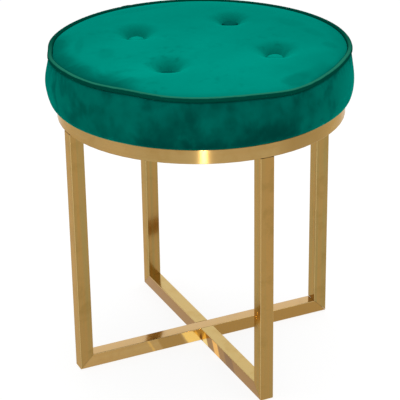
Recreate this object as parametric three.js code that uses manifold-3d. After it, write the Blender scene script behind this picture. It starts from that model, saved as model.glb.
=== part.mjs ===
// A round tufted stool on a frame of square tube: four legs under a ring, two floor rails that cross.
// Millimetres, +Z up. The origin lies on the floor under the middle of the seat.
import * as THREE from 'three';
import { mergeVertices } from 'three/addons/utils/BufferGeometryUtils.js';
import Module from 'manifold-3d';

const wasm = await Module();
wasm.setup();

// Frame of square tube
const frameRadius = 195.9; // middle of the stool to the outer face of a leg and of the ring
const ringTop = 375.5; // floor to the face that carries the seat
const tubeSide = 19.5;
const tubeWall = 1.2;
const tubeCorner = 1; // outer rounding of the tube's edges
const ventDiameter = 8; // hole from the ring's hollow into each leg
const weldGap = 0.3; // root gap where a mitre or a curved end is welded

// Push-in glide under each foot
const glideThickness = 1.5;
const glideDiameter = 12;
const glideEdge = 0.4;
const glideStemDiameter = 5;
const glideStemLength = 5.5;
const stemClearance = 0.2;

// Lug inside the ring, with the screw that passes it
const tabThickness = 3;
const tabWidth = 28;
const tabHoleInset = 16; // inner wall of the ring to the middle of the screw hole
const screwDiameter = 6;
const screwClearance = 0.5;
const screwLength = 16;
const screwHeadDiameter = 12;
const screwHeadHeight = 3.3;
const screwEdge = 0.8;
const socketAcross = 4;
const socketDepth = 2;
const washerDiameter = 14;
const washerThickness = 1.2;

// Plywood board, with its T-nuts
const boardThickness = 12;
const boardMargin = 1; // edge of the board to the foot of the velvet band
const nutFlangeDiameter = 19;
const nutFlangeThickness = 1.2;
const nutBarrelDiameter = 7.8;
const nutLength = 9;
const nutBore = 6.4;
const nutClearance = 0.25;

// Velvet band round the side, heights from the top of the ring
const fabricThickness = 1;
const footOverhang = 1; // ring to the place where the band turns up
const hemInset = 20; // inner wall of the ring to the raw edge of the turned-in band
const bulgeOverhang = 12.7; // ring to the widest place of the band
const bulgeHeight = 31;
const bandPower = 2.5; // roundness of the band below its widest place
const drawInPower = 1.4; // how the band draws in above it

// Piping, heights from the top of the ring
const pipingOverhang = 5.7; // ring to the middle of the cord
const pipingHeight = 69;
const cordDiameter = 7;
const flangeLength = 11; // middle of the cord to the edge of its sewn-in flange
const flangeThickness = 0.8;
const flangeAngle = 40; // degrees below level
const seamClearance = 0.3;

// Tufted top
const crownRise = 10; // seam to the highest place of the crown
const crownPower = 6; // squareness of the crown
const tuftDepths = [13, 17, 19, 17.5]; // crown to the floor of each dimple, as they were pulled
const tuftPower = 4; // steepness of a dimple towards its button
const tuftFloor = 6.5; // edge of a button to the edge of the level floor of its dimple
const tuftReach = 26; // edge of that floor to the edge of the dimple
const buttonAngles = [40.6, 128.9, 220.2, 314.4]; // degrees, as they were sewn in
const buttonCircle = 101; // middle of the stool to the buttons, as marked out
const buttonOffsets = [0.4, -4, -0.2, 4.3]; // how far outside that circle each was sewn in
const softGap = 0.3; // between soft pieces that lie on each other
const foamClearance = 0.8; // foam to the band and to the sewn-in flange

// Covered button, its tie and the washer that the knot pulls against
const buttonDiameter = 22;
const buttonHeight = 5.6;
const tieDiameter = 1.8;
const tieClearance = 0.6;
const tieSocketDepth = 2;
const knotDiameter = 5.5;
const knotHeight = 2.8;
const tieWasherDiameter = 14;
const tieWasherThickness = 1;
const boardTieHole = 5;

// Cloth under the seat
const dustThickness = 0.4;
const dustInset = 8; // inner wall of the ring to the cloth's edge
const slackShares = [0.16, 0.84]; // where the slack cloth rises, from the tie washers to the lugs

// Staples through the cloth and the turned-in band into the board
const stapleCrown = 10;
const stapleWire = 0.8;
const stapleLeg = 8;
const stapleClearance = 0.15;
const stapleInset = 15; // inner wall of the ring to the row of staples
const stapleCount = 12;

const overrun = 1; // how far a cutter passes the face that it opens

// Facets
const ringSides = 64;
const softSides = 48;
const buttonSides = 16;
const smallSides = 12;
const cordSides = 8;
const cornerSteps = 2;
const tabSteps = 4;

// Grid of the tufted top: angles from a button to halfway to the next, and rings across a dimple,
// from there to the shoulder and from the shoulder to the seam.
const sectorShares = [0, 0.15, 0.26, 0.39, 0.56, 0.77, 1];
const dimpleShares = [0.26, 1];
const plateauShares = [0.4, 0.75, 1];
const rimShares = [0.7, 1];
// Heights on the band, from its foot to the widest place and from there to the seam
const lowerBandShares = [0, 0.04, 0.18, 0.5, 1];
const upperBandShares = [0.5, 1];
const foamShoulderShare = 0.84; // height where the foam meets the band, of the band's height

// Places that follow from the sizes
const ringInner = frameRadius - tubeSide;
const tubeMiddle = frameRadius - tubeSide / 2;
const ringUnderside = ringTop - tubeSide;
const footRadius = frameRadius + footOverhang;
const bulgeRadius = frameRadius + bulgeOverhang;
const pipingRadius = frameRadius + pipingOverhang;
const cordRadius = cordDiameter / 2;
const bandTopRadius = pipingRadius + fabricThickness;
const bandHeight = pipingHeight - cordRadius - seamClearance;
const rimRadius = pipingRadius - cordRadius - seamClearance;
const rimHeight = ringTop + pipingHeight;
const flangeSlope = THREE.MathUtils.degToRad(flangeAngle);
const flangeTipRadius = pipingRadius - flangeLength * Math.cos(flangeSlope);
const flangeTipHeight = rimHeight - flangeLength * Math.sin(flangeSlope);
const boardRadius = footRadius - boardMargin;
const boardBottom = ringTop + fabricThickness;
const boardTop = boardBottom + boardThickness;
const screwCircle = ringInner - tabHoleInset;
const tabTop = ringTop - dustThickness;
const tabBottom = tabTop - tabThickness;
const screwSeat = tabBottom - washerThickness;
const screwHole = screwDiameter + screwClearance * 2;
const tieHole = tieDiameter + tieClearance * 2;
const knotSeat = boardBottom - tieWasherThickness;
const dustSag = ringTop - knotSeat + knotHeight + softGap;
const buttonRadii = buttonOffsets.map((offset) => buttonCircle + offset);
const washerReach = Math.max(...buttonRadii) + tieWasherDiameter / 2;
const lugReach = screwCircle - tabWidth / 2;
const [dustSlackRadius, dustRimRadius] = slackShares.map(
  (share) => washerReach + share * (lugReach - washerReach),
);

// Materials
const brushedBrass = { color: 0xb8925a, roughness: 0.34, metalness: 1 };
const zincPlate = { color: 0xb4b6b8, roughness: 0.4, metalness: 1 };
const velvet = { color: 0x007e6c, roughness: 0.92, metalness: 0 };
const pipingVelvet = { color: 0x006b58, roughness: 0.85, metalness: 0 };
const plywood = { color: 0xc6a06e, roughness: 0.75, metalness: 0 };
const foam = { color: 0xe9e1c2, roughness: 0.95, metalness: 0 };
const twine = { color: 0xe6e2d8, roughness: 0.8, metalness: 0 };
const blackCloth = { color: 0x17181a, roughness: 0.95, metalness: 0 };
const blackPlastic = { color: 0x202224, roughness: 0.55, metalness: 0 };

// Closed geometry as a solid that can be cut
function toSolid(geometry) {
  const bare = geometry.clone();
  bare.deleteAttribute('normal');
  bare.deleteAttribute('uv');
  const merged = mergeVertices(bare);
  const mesh = new wasm.Mesh({
    numProp: 3,
    vertProperties: merged.attributes.position.array,
    triVerts: merged.index.array,
  });
  return new wasm.Manifold(mesh);
}

function toGeometry(solid) {
  const mesh = solid.getMesh();
  const geometry = new THREE.BufferGeometry();
  geometry.setAttribute('position', new THREE.BufferAttribute(mesh.vertProperties, 3));
  geometry.setIndex(new THREE.BufferAttribute(mesh.triVerts, 1));
  geometry.computeVertexNormals();
  return geometry;
}

function cut(geometry, cutters) {
  let solid = toSolid(geometry);
  for (const cutter of cutters) {
    solid = solid.subtract(toSolid(cutter));
  }
  return toGeometry(solid);
}

// Turns [radius, height] points about Z. A profile that leaves the axis closes on itself.
function revolve(profile, sides) {
  const points = profile.map(([radius, height]) => new THREE.Vector2(radius, height));
  if (THREE.ShapeUtils.area(points) < 0) points.reverse();
  if (points[0].x > 0) points.push(points[0].clone());
  return new THREE.LatheGeometry(points, sides).rotateX(Math.PI / 2);
}

// Round bar about Z between two heights
function bar(diameter, bottom, top, sides) {
  const geometry = new THREE.CylinderGeometry(diameter / 2, diameter / 2, top - bottom, sides);
  return geometry.rotateX(Math.PI / 2).translate(0, 0, (bottom + top) / 2);
}

function washer(diameter, bore, bottom, top) {
  const section = [[bore / 2, bottom], [diameter / 2, bottom], [diameter / 2, top], [bore / 2, top]];
  return revolve(section, smallSides);
}

// Copies of a geometry on a circle about Z, or each at its own radius, turned to face outwards
function onCircle(geometry, radii, angles) {
  return angles.map((angle, index) => {
    const copy = geometry.clone().translate(radii[index] ?? radii, 0, 0);
    return copy.rotateZ(THREE.MathUtils.degToRad(angle));
  });
}

function evenAngles(count, startShare) {
  return Array.from({ length: count }, (_, index) => ((index + startShare) * 360) / count);
}

const legAngles = evenAngles(4, 0);
const tabAngles = evenAngles(4, 0.5);

// Points of a square section with rounded corners about zero
function roundedSquare(side, corner, steps) {
  const points = [];
  const reach = side / 2 - corner;
  const origin = new THREE.Vector2();
  for (let quarter = 0; quarter < 4; quarter += 1) {
    const start = (quarter * Math.PI) / 2;
    for (let step = 0; step <= steps; step += 1) {
      const angle = (step / steps) * (Math.PI / 2);
      const x = reach + corner * Math.cos(angle);
      const y = reach + corner * Math.sin(angle);
      points.push(new THREE.Vector2(x, y).rotateAround(origin, start));
    }
  }
  return points;
}

function squareCorners(side) {
  const half = side / 2;
  const corners = [[half, half], [-half, half], [-half, -half], [half, -half]];
  return corners.map(([x, y]) => new THREE.Vector2(x, y));
}

const tubeSection = roundedSquare(tubeSide, tubeCorner, cornerSteps);
const boreSection = squareCorners(tubeSide - tubeWall * 2);

// Square tube along +Z. A mitred end is cut at 45 degrees, and the +X side stays the longest.
function squareTube(length, startMitred, endMitred) {
  const outline = new THREE.Shape(tubeSection);
  outline.holes.push(new THREE.Path(boreSection));
  const geometry = new THREE.ExtrudeGeometry(outline, { depth: length, bevelEnabled: false });
  const position = geometry.attributes.position;
  for (let index = 0; index < position.count; index += 1) {
    const fromLongSide = tubeSide / 2 - position.getX(index);
    const atStart = position.getZ(index) < length / 2;
    if (atStart && startMitred) position.setZ(index, fromLongSide);
    if (!atStart && endMitred) position.setZ(index, length - fromLongSide);
  }
  return geometry;
}

// The ring's section is the tube's own, so its hollow is turned and taken out as well.
function topRing() {
  const place = (section) => section.map(({ x, y }) => [tubeMiddle + x, ringTop - tubeSide / 2 + y]);
  const vent = bar(ventDiameter, ringUnderside - overrun, ringUnderside + tubeWall + overrun, smallSides);
  const vents = onCircle(vent, tubeMiddle, legAngles);
  const hollow = revolve(place(boreSection), ringSides);
  return cut(revolve(place(tubeSection), ringSides), [hollow, ...vents]);
}

// A leg under +X, mitred at its foot to the end of a floor rail
function leg() {
  const foot = glideThickness + weldGap * Math.SQRT2;
  return squareTube(ringUnderside - foot, true, false).translate(tubeMiddle, 0, foot);
}

const stemHole = bar(
  glideStemDiameter + stemClearance * 2,
  glideThickness - overrun,
  glideThickness + tubeWall + overrun,
  smallSides,
);

// Floor rail along X, from a place to the outer face of the leg under +X
function floorRail(start, startMitred) {
  const tube = squareTube(frameRadius - start, startMitred, true).rotateY(Math.PI / 2);
  tube.translate(start, 0, glideThickness + tubeSide / 2);
  return cut(tube, onCircle(stemHole, tubeMiddle, startMitred ? [0, 180] : [0]));
}

function floorGlide() {
  const radius = glideDiameter / 2;
  const stem = glideStemDiameter / 2;
  const tip = glideThickness + glideStemLength;
  const profile = [
    [0, 0],
    [radius - glideEdge, 0],
    [radius, glideEdge],
    [radius, glideThickness],
    [stem, glideThickness],
    [stem, tip - glideEdge],
    [stem - glideEdge, tip],
    [0, tip],
  ];
  return revolve(profile, smallSides).translate(tubeMiddle, 0, 0);
}

// Lug under +X: its outer end follows the ring and its inner end is round about the screw hole.
function seatTab() {
  const half = tabWidth / 2;
  const outerRadius = ringInner - weldGap;
  const halfAngle = Math.asin(half / outerRadius);
  const outline = new THREE.Shape();
  outline.absarc(0, 0, outerRadius, -halfAngle, halfAngle, false);
  outline.lineTo(screwCircle, half);
  outline.absarc(screwCircle, 0, half, Math.PI / 2, Math.PI * 1.5, false);
  const hole = new THREE.Path();
  hole.absarc(screwCircle, 0, screwHole / 2, 0, Math.PI * 2, true);
  outline.holes.push(hole);
  const options = { depth: tabThickness, bevelEnabled: false, curveSegments: tabSteps };
  return new THREE.ExtrudeGeometry(outline, options).translate(0, 0, tabBottom);
}

// Screw from below, with a low head and a hexagon socket
function seatScrew() {
  const head = screwHeadDiameter / 2;
  const shank = screwDiameter / 2;
  const under = screwSeat - screwHeadHeight;
  const tip = screwSeat + screwLength;
  const profile = [
    [0, under],
    [head - screwEdge, under],
    [head, under + screwEdge],
    [head, screwSeat],
    [shank, screwSeat],
    [shank, tip - screwEdge],
    [shank - screwEdge, tip],
    [0, tip],
  ];
  const acrossCorners = socketAcross / Math.cos(Math.PI / 6);
  const socket = bar(acrossCorners, under - overrun, under + socketDepth, 6);
  return cut(revolve(profile, smallSides), [socket]).translate(screwCircle, 0, 0);
}

function tNut() {
  const flange = nutFlangeDiameter / 2;
  const barrel = nutBarrelDiameter / 2;
  const bore = nutBore / 2;
  const shoulder = boardTop - nutFlangeThickness;
  const end = boardTop - nutLength;
  const profile = [
    [bore, end],
    [barrel, end],
    [barrel, shoulder],
    [flange, shoulder],
    [flange, boardTop],
    [bore, boardTop],
  ];
  return revolve(profile, smallSides).translate(screwCircle, 0, 0);
}

const dustUnderside = ringTop - dustThickness;
const stapleCircle = ringInner - stapleInset;
const stapleAngles = evenAngles(stapleCount, 0);

// Staple of bent wire under +X, driven upwards until its crown lies against the cloth
function staple() {
  const half = stapleCrown / 2;
  const crown = dustUnderside - stapleWire;
  const tip = dustUnderside + stapleLeg;
  const corners = [
    [-half, crown],
    [half, crown],
    [half, tip],
    [half - stapleWire, tip],
    [half - stapleWire, dustUnderside],
    [stapleWire - half, dustUnderside],
    [stapleWire - half, tip],
    [-half, tip],
  ];
  const outline = new THREE.Shape(corners.map(([x, y]) => new THREE.Vector2(x, y)));
  const bent = new THREE.ExtrudeGeometry(outline, { depth: stapleWire, bevelEnabled: false });
  bent.translate(0, 0, -stapleWire / 2).rotateX(Math.PI / 2).rotateZ(Math.PI / 2);
  return bent.translate(stapleCircle, 0, 0);
}

// Cutters for every staple: two holes in the board for its legs, one slit in each cloth
function stapleCutters(length, offset) {
  const width = stapleWire + stapleClearance * 2;
  const height = stapleLeg + stapleClearance + overrun;
  const hole = new THREE.BoxGeometry(width, length + stapleClearance * 2, height);
  hole.translate(0, offset, dustUnderside - overrun + height / 2);
  return onCircle(hole, stapleCircle, stapleAngles);
}

const legOffset = (stapleCrown - stapleWire) / 2;
const stapleHoles = [-legOffset, legOffset].flatMap((offset) => stapleCutters(stapleWire, offset));
const stapleSlits = stapleCutters(stapleCrown, 0);

const screwHoles = onCircle(
  bar(screwHole, tabBottom, boardBottom + overrun, smallSides),
  screwCircle,
  tabAngles,
);

function seatBoard() {
  const below = boardBottom - overrun;
  const above = boardTop + overrun;
  const barrelHole = bar(nutBarrelDiameter + nutClearance * 2, below, above, smallSides);
  const recessDiameter = nutFlangeDiameter + nutClearance * 2;
  const recess = bar(recessDiameter, boardTop - nutFlangeThickness, above, smallSides);
  const cordHole = bar(boardTieHole, below, above, cordSides);
  return cut(bar(boardRadius * 2, boardBottom, boardTop, ringSides), [
    ...onCircle(barrelHole, screwCircle, tabAngles),
    ...onCircle(recess, screwCircle, tabAngles),
    ...onCircle(cordHole, buttonRadii, buttonAngles),
    ...stapleHoles,
  ]);
}

// Cloth that lies flat at its edge and hangs slack under the knots
function dustCover() {
  const radius = ringInner - dustInset;
  const upper = [
    [0, ringTop - dustSag],
    [dustSlackRadius, ringTop - dustSag],
    [dustRimRadius, ringTop],
    [radius, ringTop],
  ];
  const lower = upper.map(([place, height]) => [place, height - dustThickness]).reverse();
  return cut(revolve([...upper, ...lower], softSides), [...screwHoles, ...stapleSlits]);
}

// Outer radius of the velvet band at a height above the ring
function bandRadius(height) {
  if (height < bulgeHeight) {
    const below = 1 - height / bulgeHeight;
    const roundness = (1 - below ** bandPower) ** (1 / bandPower);
    return footRadius + (bulgeRadius - footRadius) * roundness;
  }
  const above = (height - bulgeHeight) / (bandHeight - bulgeHeight);
  return bulgeRadius - (bulgeRadius - bandTopRadius) * above ** drawInPower;
}

// The same line moved to its left
function parallelLine(points, distance) {
  return points.map(([x, y], index) => {
    const before = points[Math.max(index - 1, 0)];
    const after = points[Math.min(index + 1, points.length - 1)];
    const along = new THREE.Vector2(after[0] - before[0], after[1] - before[1]).normalize();
    return [x - along.y * distance, y + along.x * distance];
  });
}

// The band stands round the foam and is turned in flat under the board.
function coverSide() {
  const heights = [
    ...lowerBandShares.map((share) => share * bulgeHeight),
    ...upperBandShares.map((share) => bulgeHeight + share * (bandHeight - bulgeHeight)),
  ];
  const standing = heights.map((height) => [bandRadius(height), ringTop + height]);
  const outer = [[ringInner - hemInset, ringTop], ...standing];
  const inner = parallelLine(outer, fabricThickness).reverse();
  return cut(revolve([...outer, ...inner], softSides), [...screwHoles, ...stapleSlits]);
}

// Cord with the flange that is sewn in between the band and the top
function piping() {
  const direction = Math.PI + flangeSlope;
  const halfOpening = Math.asin(flangeThickness / 2 / cordRadius);
  const sweep = Math.PI * 2 - halfOpening * 2;
  const arc = Array.from({ length: cordSides }, (_, index) => {
    const angle = direction + halfOpening + (index / (cordSides - 1)) * sweep;
    return [pipingRadius + cordRadius * Math.cos(angle), rimHeight + cordRadius * Math.sin(angle)];
  });
  const acrossRadius = (Math.sin(flangeSlope) * flangeThickness) / 2;
  const acrossHeight = (Math.cos(flangeSlope) * flangeThickness) / 2;
  const tips = [
    [flangeTipRadius - acrossRadius, flangeTipHeight + acrossHeight],
    [flangeTipRadius + acrossRadius, flangeTipHeight - acrossHeight],
  ];
  return revolve([...arc, ...tips], ringSides);
}

const floorRadius = buttonDiameter / 2 + tuftFloor;
const buttonPlaces = buttonAngles.map((angle, index) => {
  const turn = THREE.MathUtils.degToRad(angle);
  return new THREE.Vector2(Math.cos(turn), Math.sin(turn)).multiplyScalar(buttonRadii[index]);
});

// Height of the velvet top: a crown that rises from the seam, less the dimple of the nearest button
function topHeight(x, y) {
  const outward = Math.min(Math.hypot(x, y) / rimRadius, 1);
  const crown = crownRise * Math.sqrt(1 - outward ** crownPower);
  const depths = buttonPlaces.map((button, index) => {
    const away = Math.hypot(x - button.x, y - button.y) - floorRadius;
    const share = THREE.MathUtils.clamp(away / tuftReach, 0, 1);
    return tuftDepths[index] * (1 - share) ** tuftPower;
  });
  return rimHeight + crown - Math.max(...depths);
}

// Lines of the grid from the middle outwards, one of them through each button, with the distance at
// which the row of the buttons crosses each
const gridShares = [...sectorShares, ...sectorShares.slice(1, -1).reverse().map((share) => 2 - share)];
const gridLines = buttonAngles.flatMap((angle, index) => {
  const next = (index + 1) % buttonAngles.length;
  const halfGap = THREE.MathUtils.euclideanModulo(buttonAngles[next] - angle, 360) / 2;
  return gridShares.map((share) => ({
    angle: THREE.MathUtils.degToRad(angle + share * halfGap),
    circle: THREE.MathUtils.lerp(buttonRadii[index], buttonRadii[next], share / 2),
  }));
});

const shoulderRadius = flangeTipRadius - foamClearance;
const dimpleSteps = [buttonDiameter / 2, ...dimpleShares.map((share) => floorRadius + share * tuftReach)];

// Radii of the rows on a line that the row of the buttons crosses at this distance
function foamRadii(circle) {
  const dimpleEdge = circle + dimpleSteps.at(-1);
  return [
    ...dimpleSteps.map((step) => circle - step).reverse(),
    circle,
    ...dimpleSteps.map((step) => circle + step),
    ...plateauShares.map((share) => dimpleEdge + share * (shoulderRadius - dimpleEdge)),
  ];
}

function coverRadii(circle) {
  const rim = rimShares.map((share) => shoulderRadius + share * (rimRadius - shoulderRadius));
  return [...foamRadii(circle), ...rim];
}

function gridPoint(angle, radius, heightAt) {
  const x = radius * Math.cos(angle);
  const y = radius * Math.sin(angle);
  return [x, y, heightAt(x, y)];
}

function gridRow(radius, heightAt) {
  return gridLines.map(({ angle }) => gridPoint(angle, radius, heightAt));
}

function gridSurface(radiiOn, drop) {
  const heightAt = (x, y) => topHeight(x, y) - drop;
  const lines = gridLines.map(({ angle, circle }) =>
    radiiOn(circle).map((radius) => gridPoint(angle, radius, heightAt)),
  );
  const rows = lines[0].map((_, row) => lines.map((line) => line[row]));
  return [[[0, 0, heightAt(0, 0)]], ...rows];
}

// Triangles between two rows of vertex numbers, the first of which may be a single point
function strip(first, second) {
  const triangles = [];
  for (let index = 0; index < second.length; index += 1) {
    const next = (index + 1) % second.length;
    if (first.length === 1) {
      triangles.push([first[0], second[index], second[next]]);
    } else {
      triangles.push([first[index], second[index], second[next]]);
      triangles.push([first[index], second[next], first[next]]);
    }
  }
  return triangles;
}

function strips(rows) {
  return rows.slice(1).flatMap((row, index) => strip(rows[index], row));
}

// Closed solid between an upper and a lower surface, each a list of rows from the middle outwards
function layeredSolid(upperRows, wallRows, lowerRows) {
  const positions = [];
  const number = (row) => row.map((point) => positions.push(...point) / 3 - 1);
  const upper = upperRows.map(number);
  const walls = wallRows.map(number);
  const lower = lowerRows.map(number);
  const triangles = [
    ...strips(upper),
    ...strips([upper.at(-1), ...walls, lower.at(-1)]),
    ...strips(lower).map(([a, b, c]) => [a, c, b]),
  ];
  const geometry = new THREE.BufferGeometry();
  geometry.setAttribute('position', new THREE.Float32BufferAttribute(positions, 3));
  geometry.setIndex(triangles.flat());
  geometry.computeVertexNormals();
  return geometry;
}

const tieHoles = onCircle(
  bar(tieHole, boardBottom, rimHeight + crownRise, cordSides),
  buttonRadii,
  buttonAngles,
);

function coverTop() {
  const skin = layeredSolid(gridSurface(coverRadii, 0), [], gridSurface(coverRadii, fabricThickness));
  return cut(skin, tieHoles);
}

// The foam follows the cover's underside, leaves room for the sewn-in flange and fills the band.
function foamCore() {
  const upper = gridSurface(foamRadii, fabricThickness + softGap);
  const sideRow = (height) => {
    const radius = bandRadius(height) - fabricThickness - foamClearance;
    return gridRow(radius, () => ringTop + height);
  };
  const notch = gridRow(shoulderRadius, () => flangeTipHeight - flangeThickness / 2 - foamClearance);
  const bottom = boardTop - ringTop;
  const walls = [
    notch,
    sideRow(foamShoulderShare * bandHeight),
    sideRow(bulgeHeight),
    sideRow((bulgeHeight + bottom) / 2),
  ];
  return cut(layeredSolid(upper, walls, [[[0, 0, boardTop]], sideRow(bottom)]), tieHoles);
}

// Covered button: a low dome on a narrower back, with the socket of its tie
const buttonProfileShares = [
  [0.5, 0],
  [0.88, 0.28],
  [1, 0.52],
  [0.94, 0.76],
  [0.72, 0.91],
  [0.38, 0.98],
  [0, 1],
];
const buttonSeats = tuftDepths.map((depth) => rimHeight + crownRise - depth + softGap);

function coveredButton(seat) {
  const radius = buttonDiameter / 2;
  const dome = buttonProfileShares.map(([across, up]) => [across * radius, up * buttonHeight]);
  const profile = [[0, tieSocketDepth], [tieHole / 2, tieSocketDepth], [tieHole / 2, 0], ...dome];
  return revolve(profile, buttonSides).translate(0, 0, seat);
}

// Tie with the knot at its lower end
function buttonTie(seat) {
  const strand = tieDiameter / 2;
  const knot = knotDiameter / 2;
  const top = seat + tieSocketDepth - softGap;
  const profile = [
    [0, knotSeat - knotHeight],
    [knot / 2, knotSeat - knotHeight],
    [knot, knotSeat - knotHeight / 2],
    [knot / 2, knotSeat],
    [strand, knotSeat],
    [strand, top],
    [0, top],
  ];
  return revolve(profile, cordSides);
}

function namedMesh(name, geometry, look) {
  const mesh = new THREE.Mesh(geometry, new THREE.MeshStandardMaterial(look));
  mesh.name = name;
  return mesh;
}

// Mesh that stands at an angle about the middle of the stool
function turnedMesh(name, geometry, look, degrees) {
  const mesh = namedMesh(name, geometry, look);
  mesh.rotation.z = THREE.MathUtils.degToRad(degrees);
  return mesh;
}

function frameGroup() {
  const group = new THREE.Group();
  group.add(namedMesh('top_ring', topRing(), brushedBrass));
  group.add(namedMesh('floor_rail_long', floorRail(-frameRadius, true), brushedBrass));
  group.add(turnedMesh('floor_rail_rear', floorRail(tubeSide / 2, false), brushedBrass, legAngles[1]));
  group.add(turnedMesh('floor_rail_front', floorRail(tubeSide / 2, false), brushedBrass, legAngles[3]));
  ['right', 'rear', 'left', 'front'].forEach((side, index) => {
    group.add(turnedMesh(`leg_${side}`, leg(), brushedBrass, legAngles[index]));
    group.add(turnedMesh(`floor_glide_${side}`, floorGlide(), blackPlastic, legAngles[index]));
  });
  group.add(...turnedRow('seat_tab', seatTab(), brushedBrass, tabAngles));
  return group;
}

// One numbered mesh of the same shape at each angle
function turnedRow(name, geometry, look, angles) {
  return angles.map((angle, index) => turnedMesh(`${name}_${index + 1}`, geometry, look, angle));
}

// One numbered mesh at each button, of the shape that goes with the height of its seat
function tuftRow(name, shapeAt, look) {
  return buttonAngles.map((angle, index) => {
    const piece = shapeAt(buttonSeats[index]).translate(buttonRadii[index], 0, 0);
    return turnedMesh(`${name}_${index + 1}`, piece, look, angle);
  });
}

function seatGroup() {
  const group = new THREE.Group();
  const screwWasher = washer(washerDiameter, screwHole, screwSeat, tabBottom);
  screwWasher.translate(screwCircle, 0, 0);
  const tieWasher = () => washer(tieWasherDiameter, tieHole, knotSeat, boardBottom);
  group.add(...turnedRow('seat_screw', seatScrew(), zincPlate, tabAngles));
  group.add(...turnedRow('screw_washer', screwWasher, zincPlate, tabAngles));
  group.add(...turnedRow('t_nut', tNut(), zincPlate, tabAngles));
  group.add(namedMesh('seat_board', seatBoard(), plywood));
  group.add(namedMesh('foam_core', foamCore(), foam));
  group.add(namedMesh('cover_side', coverSide(), velvet));
  group.add(namedMesh('cover_top', coverTop(), velvet));
  group.add(namedMesh('piping', piping(), pipingVelvet));
  group.add(...tuftRow('button', coveredButton, velvet));
  group.add(...tuftRow('button_tie', buttonTie, twine));
  group.add(...tuftRow('tie_washer', tieWasher, zincPlate));
  group.add(namedMesh('dust_cover', dustCover(), blackCloth));
  group.add(...turnedRow('staple', staple(), zincPlate, stapleAngles));
  return group;
}

const stool = new THREE.Group();
stool.add(frameGroup(), seatGroup());

export default stool;
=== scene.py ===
# Tufted velvet stool on a brass frame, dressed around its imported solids.
# Everything is in metres, with the origin on the floor under the middle of the seat.
from math import asin, atan2, copysign, cos, exp, hypot, pi, radians, remainder, sin, sqrt

import bmesh
import bpy
import numpy as np
from mathutils import Matrix, Vector
from mathutils.noise import noise


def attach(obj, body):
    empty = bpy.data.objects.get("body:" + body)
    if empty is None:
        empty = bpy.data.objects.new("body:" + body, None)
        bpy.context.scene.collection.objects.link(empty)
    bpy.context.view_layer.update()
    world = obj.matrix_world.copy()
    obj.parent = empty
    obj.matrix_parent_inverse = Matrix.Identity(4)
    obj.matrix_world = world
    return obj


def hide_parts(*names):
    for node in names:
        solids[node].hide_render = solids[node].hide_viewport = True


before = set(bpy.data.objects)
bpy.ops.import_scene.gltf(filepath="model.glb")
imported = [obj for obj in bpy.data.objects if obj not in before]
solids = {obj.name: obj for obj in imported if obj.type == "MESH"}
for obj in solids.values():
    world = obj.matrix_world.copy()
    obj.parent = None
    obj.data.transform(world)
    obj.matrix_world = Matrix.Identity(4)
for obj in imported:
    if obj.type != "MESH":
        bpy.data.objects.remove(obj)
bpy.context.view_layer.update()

scene = bpy.context.scene
fullTurn = pi * 2
print("frame loaded:", len(solids), "solids")


def clamped(value):
    return min(max(value, 0), 1)


def eased(share):
    return share * share * (3 - 2 * share)


def polar(radius, turn):
    return radius * cos(turn), radius * sin(turn)


def scaled(values, by):
    return tuple(value * by for value in values)


def numbered(name, count):
    return [f"{name}_{number}" for number in range(1, count + 1)]


def linked(name, data):
    obj = bpy.data.objects.new(name, data)
    scene.collection.objects.link(obj)
    return obj


def evaluated(obj):
    return obj.evaluated_get(bpy.context.evaluated_depsgraph_get())


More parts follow.
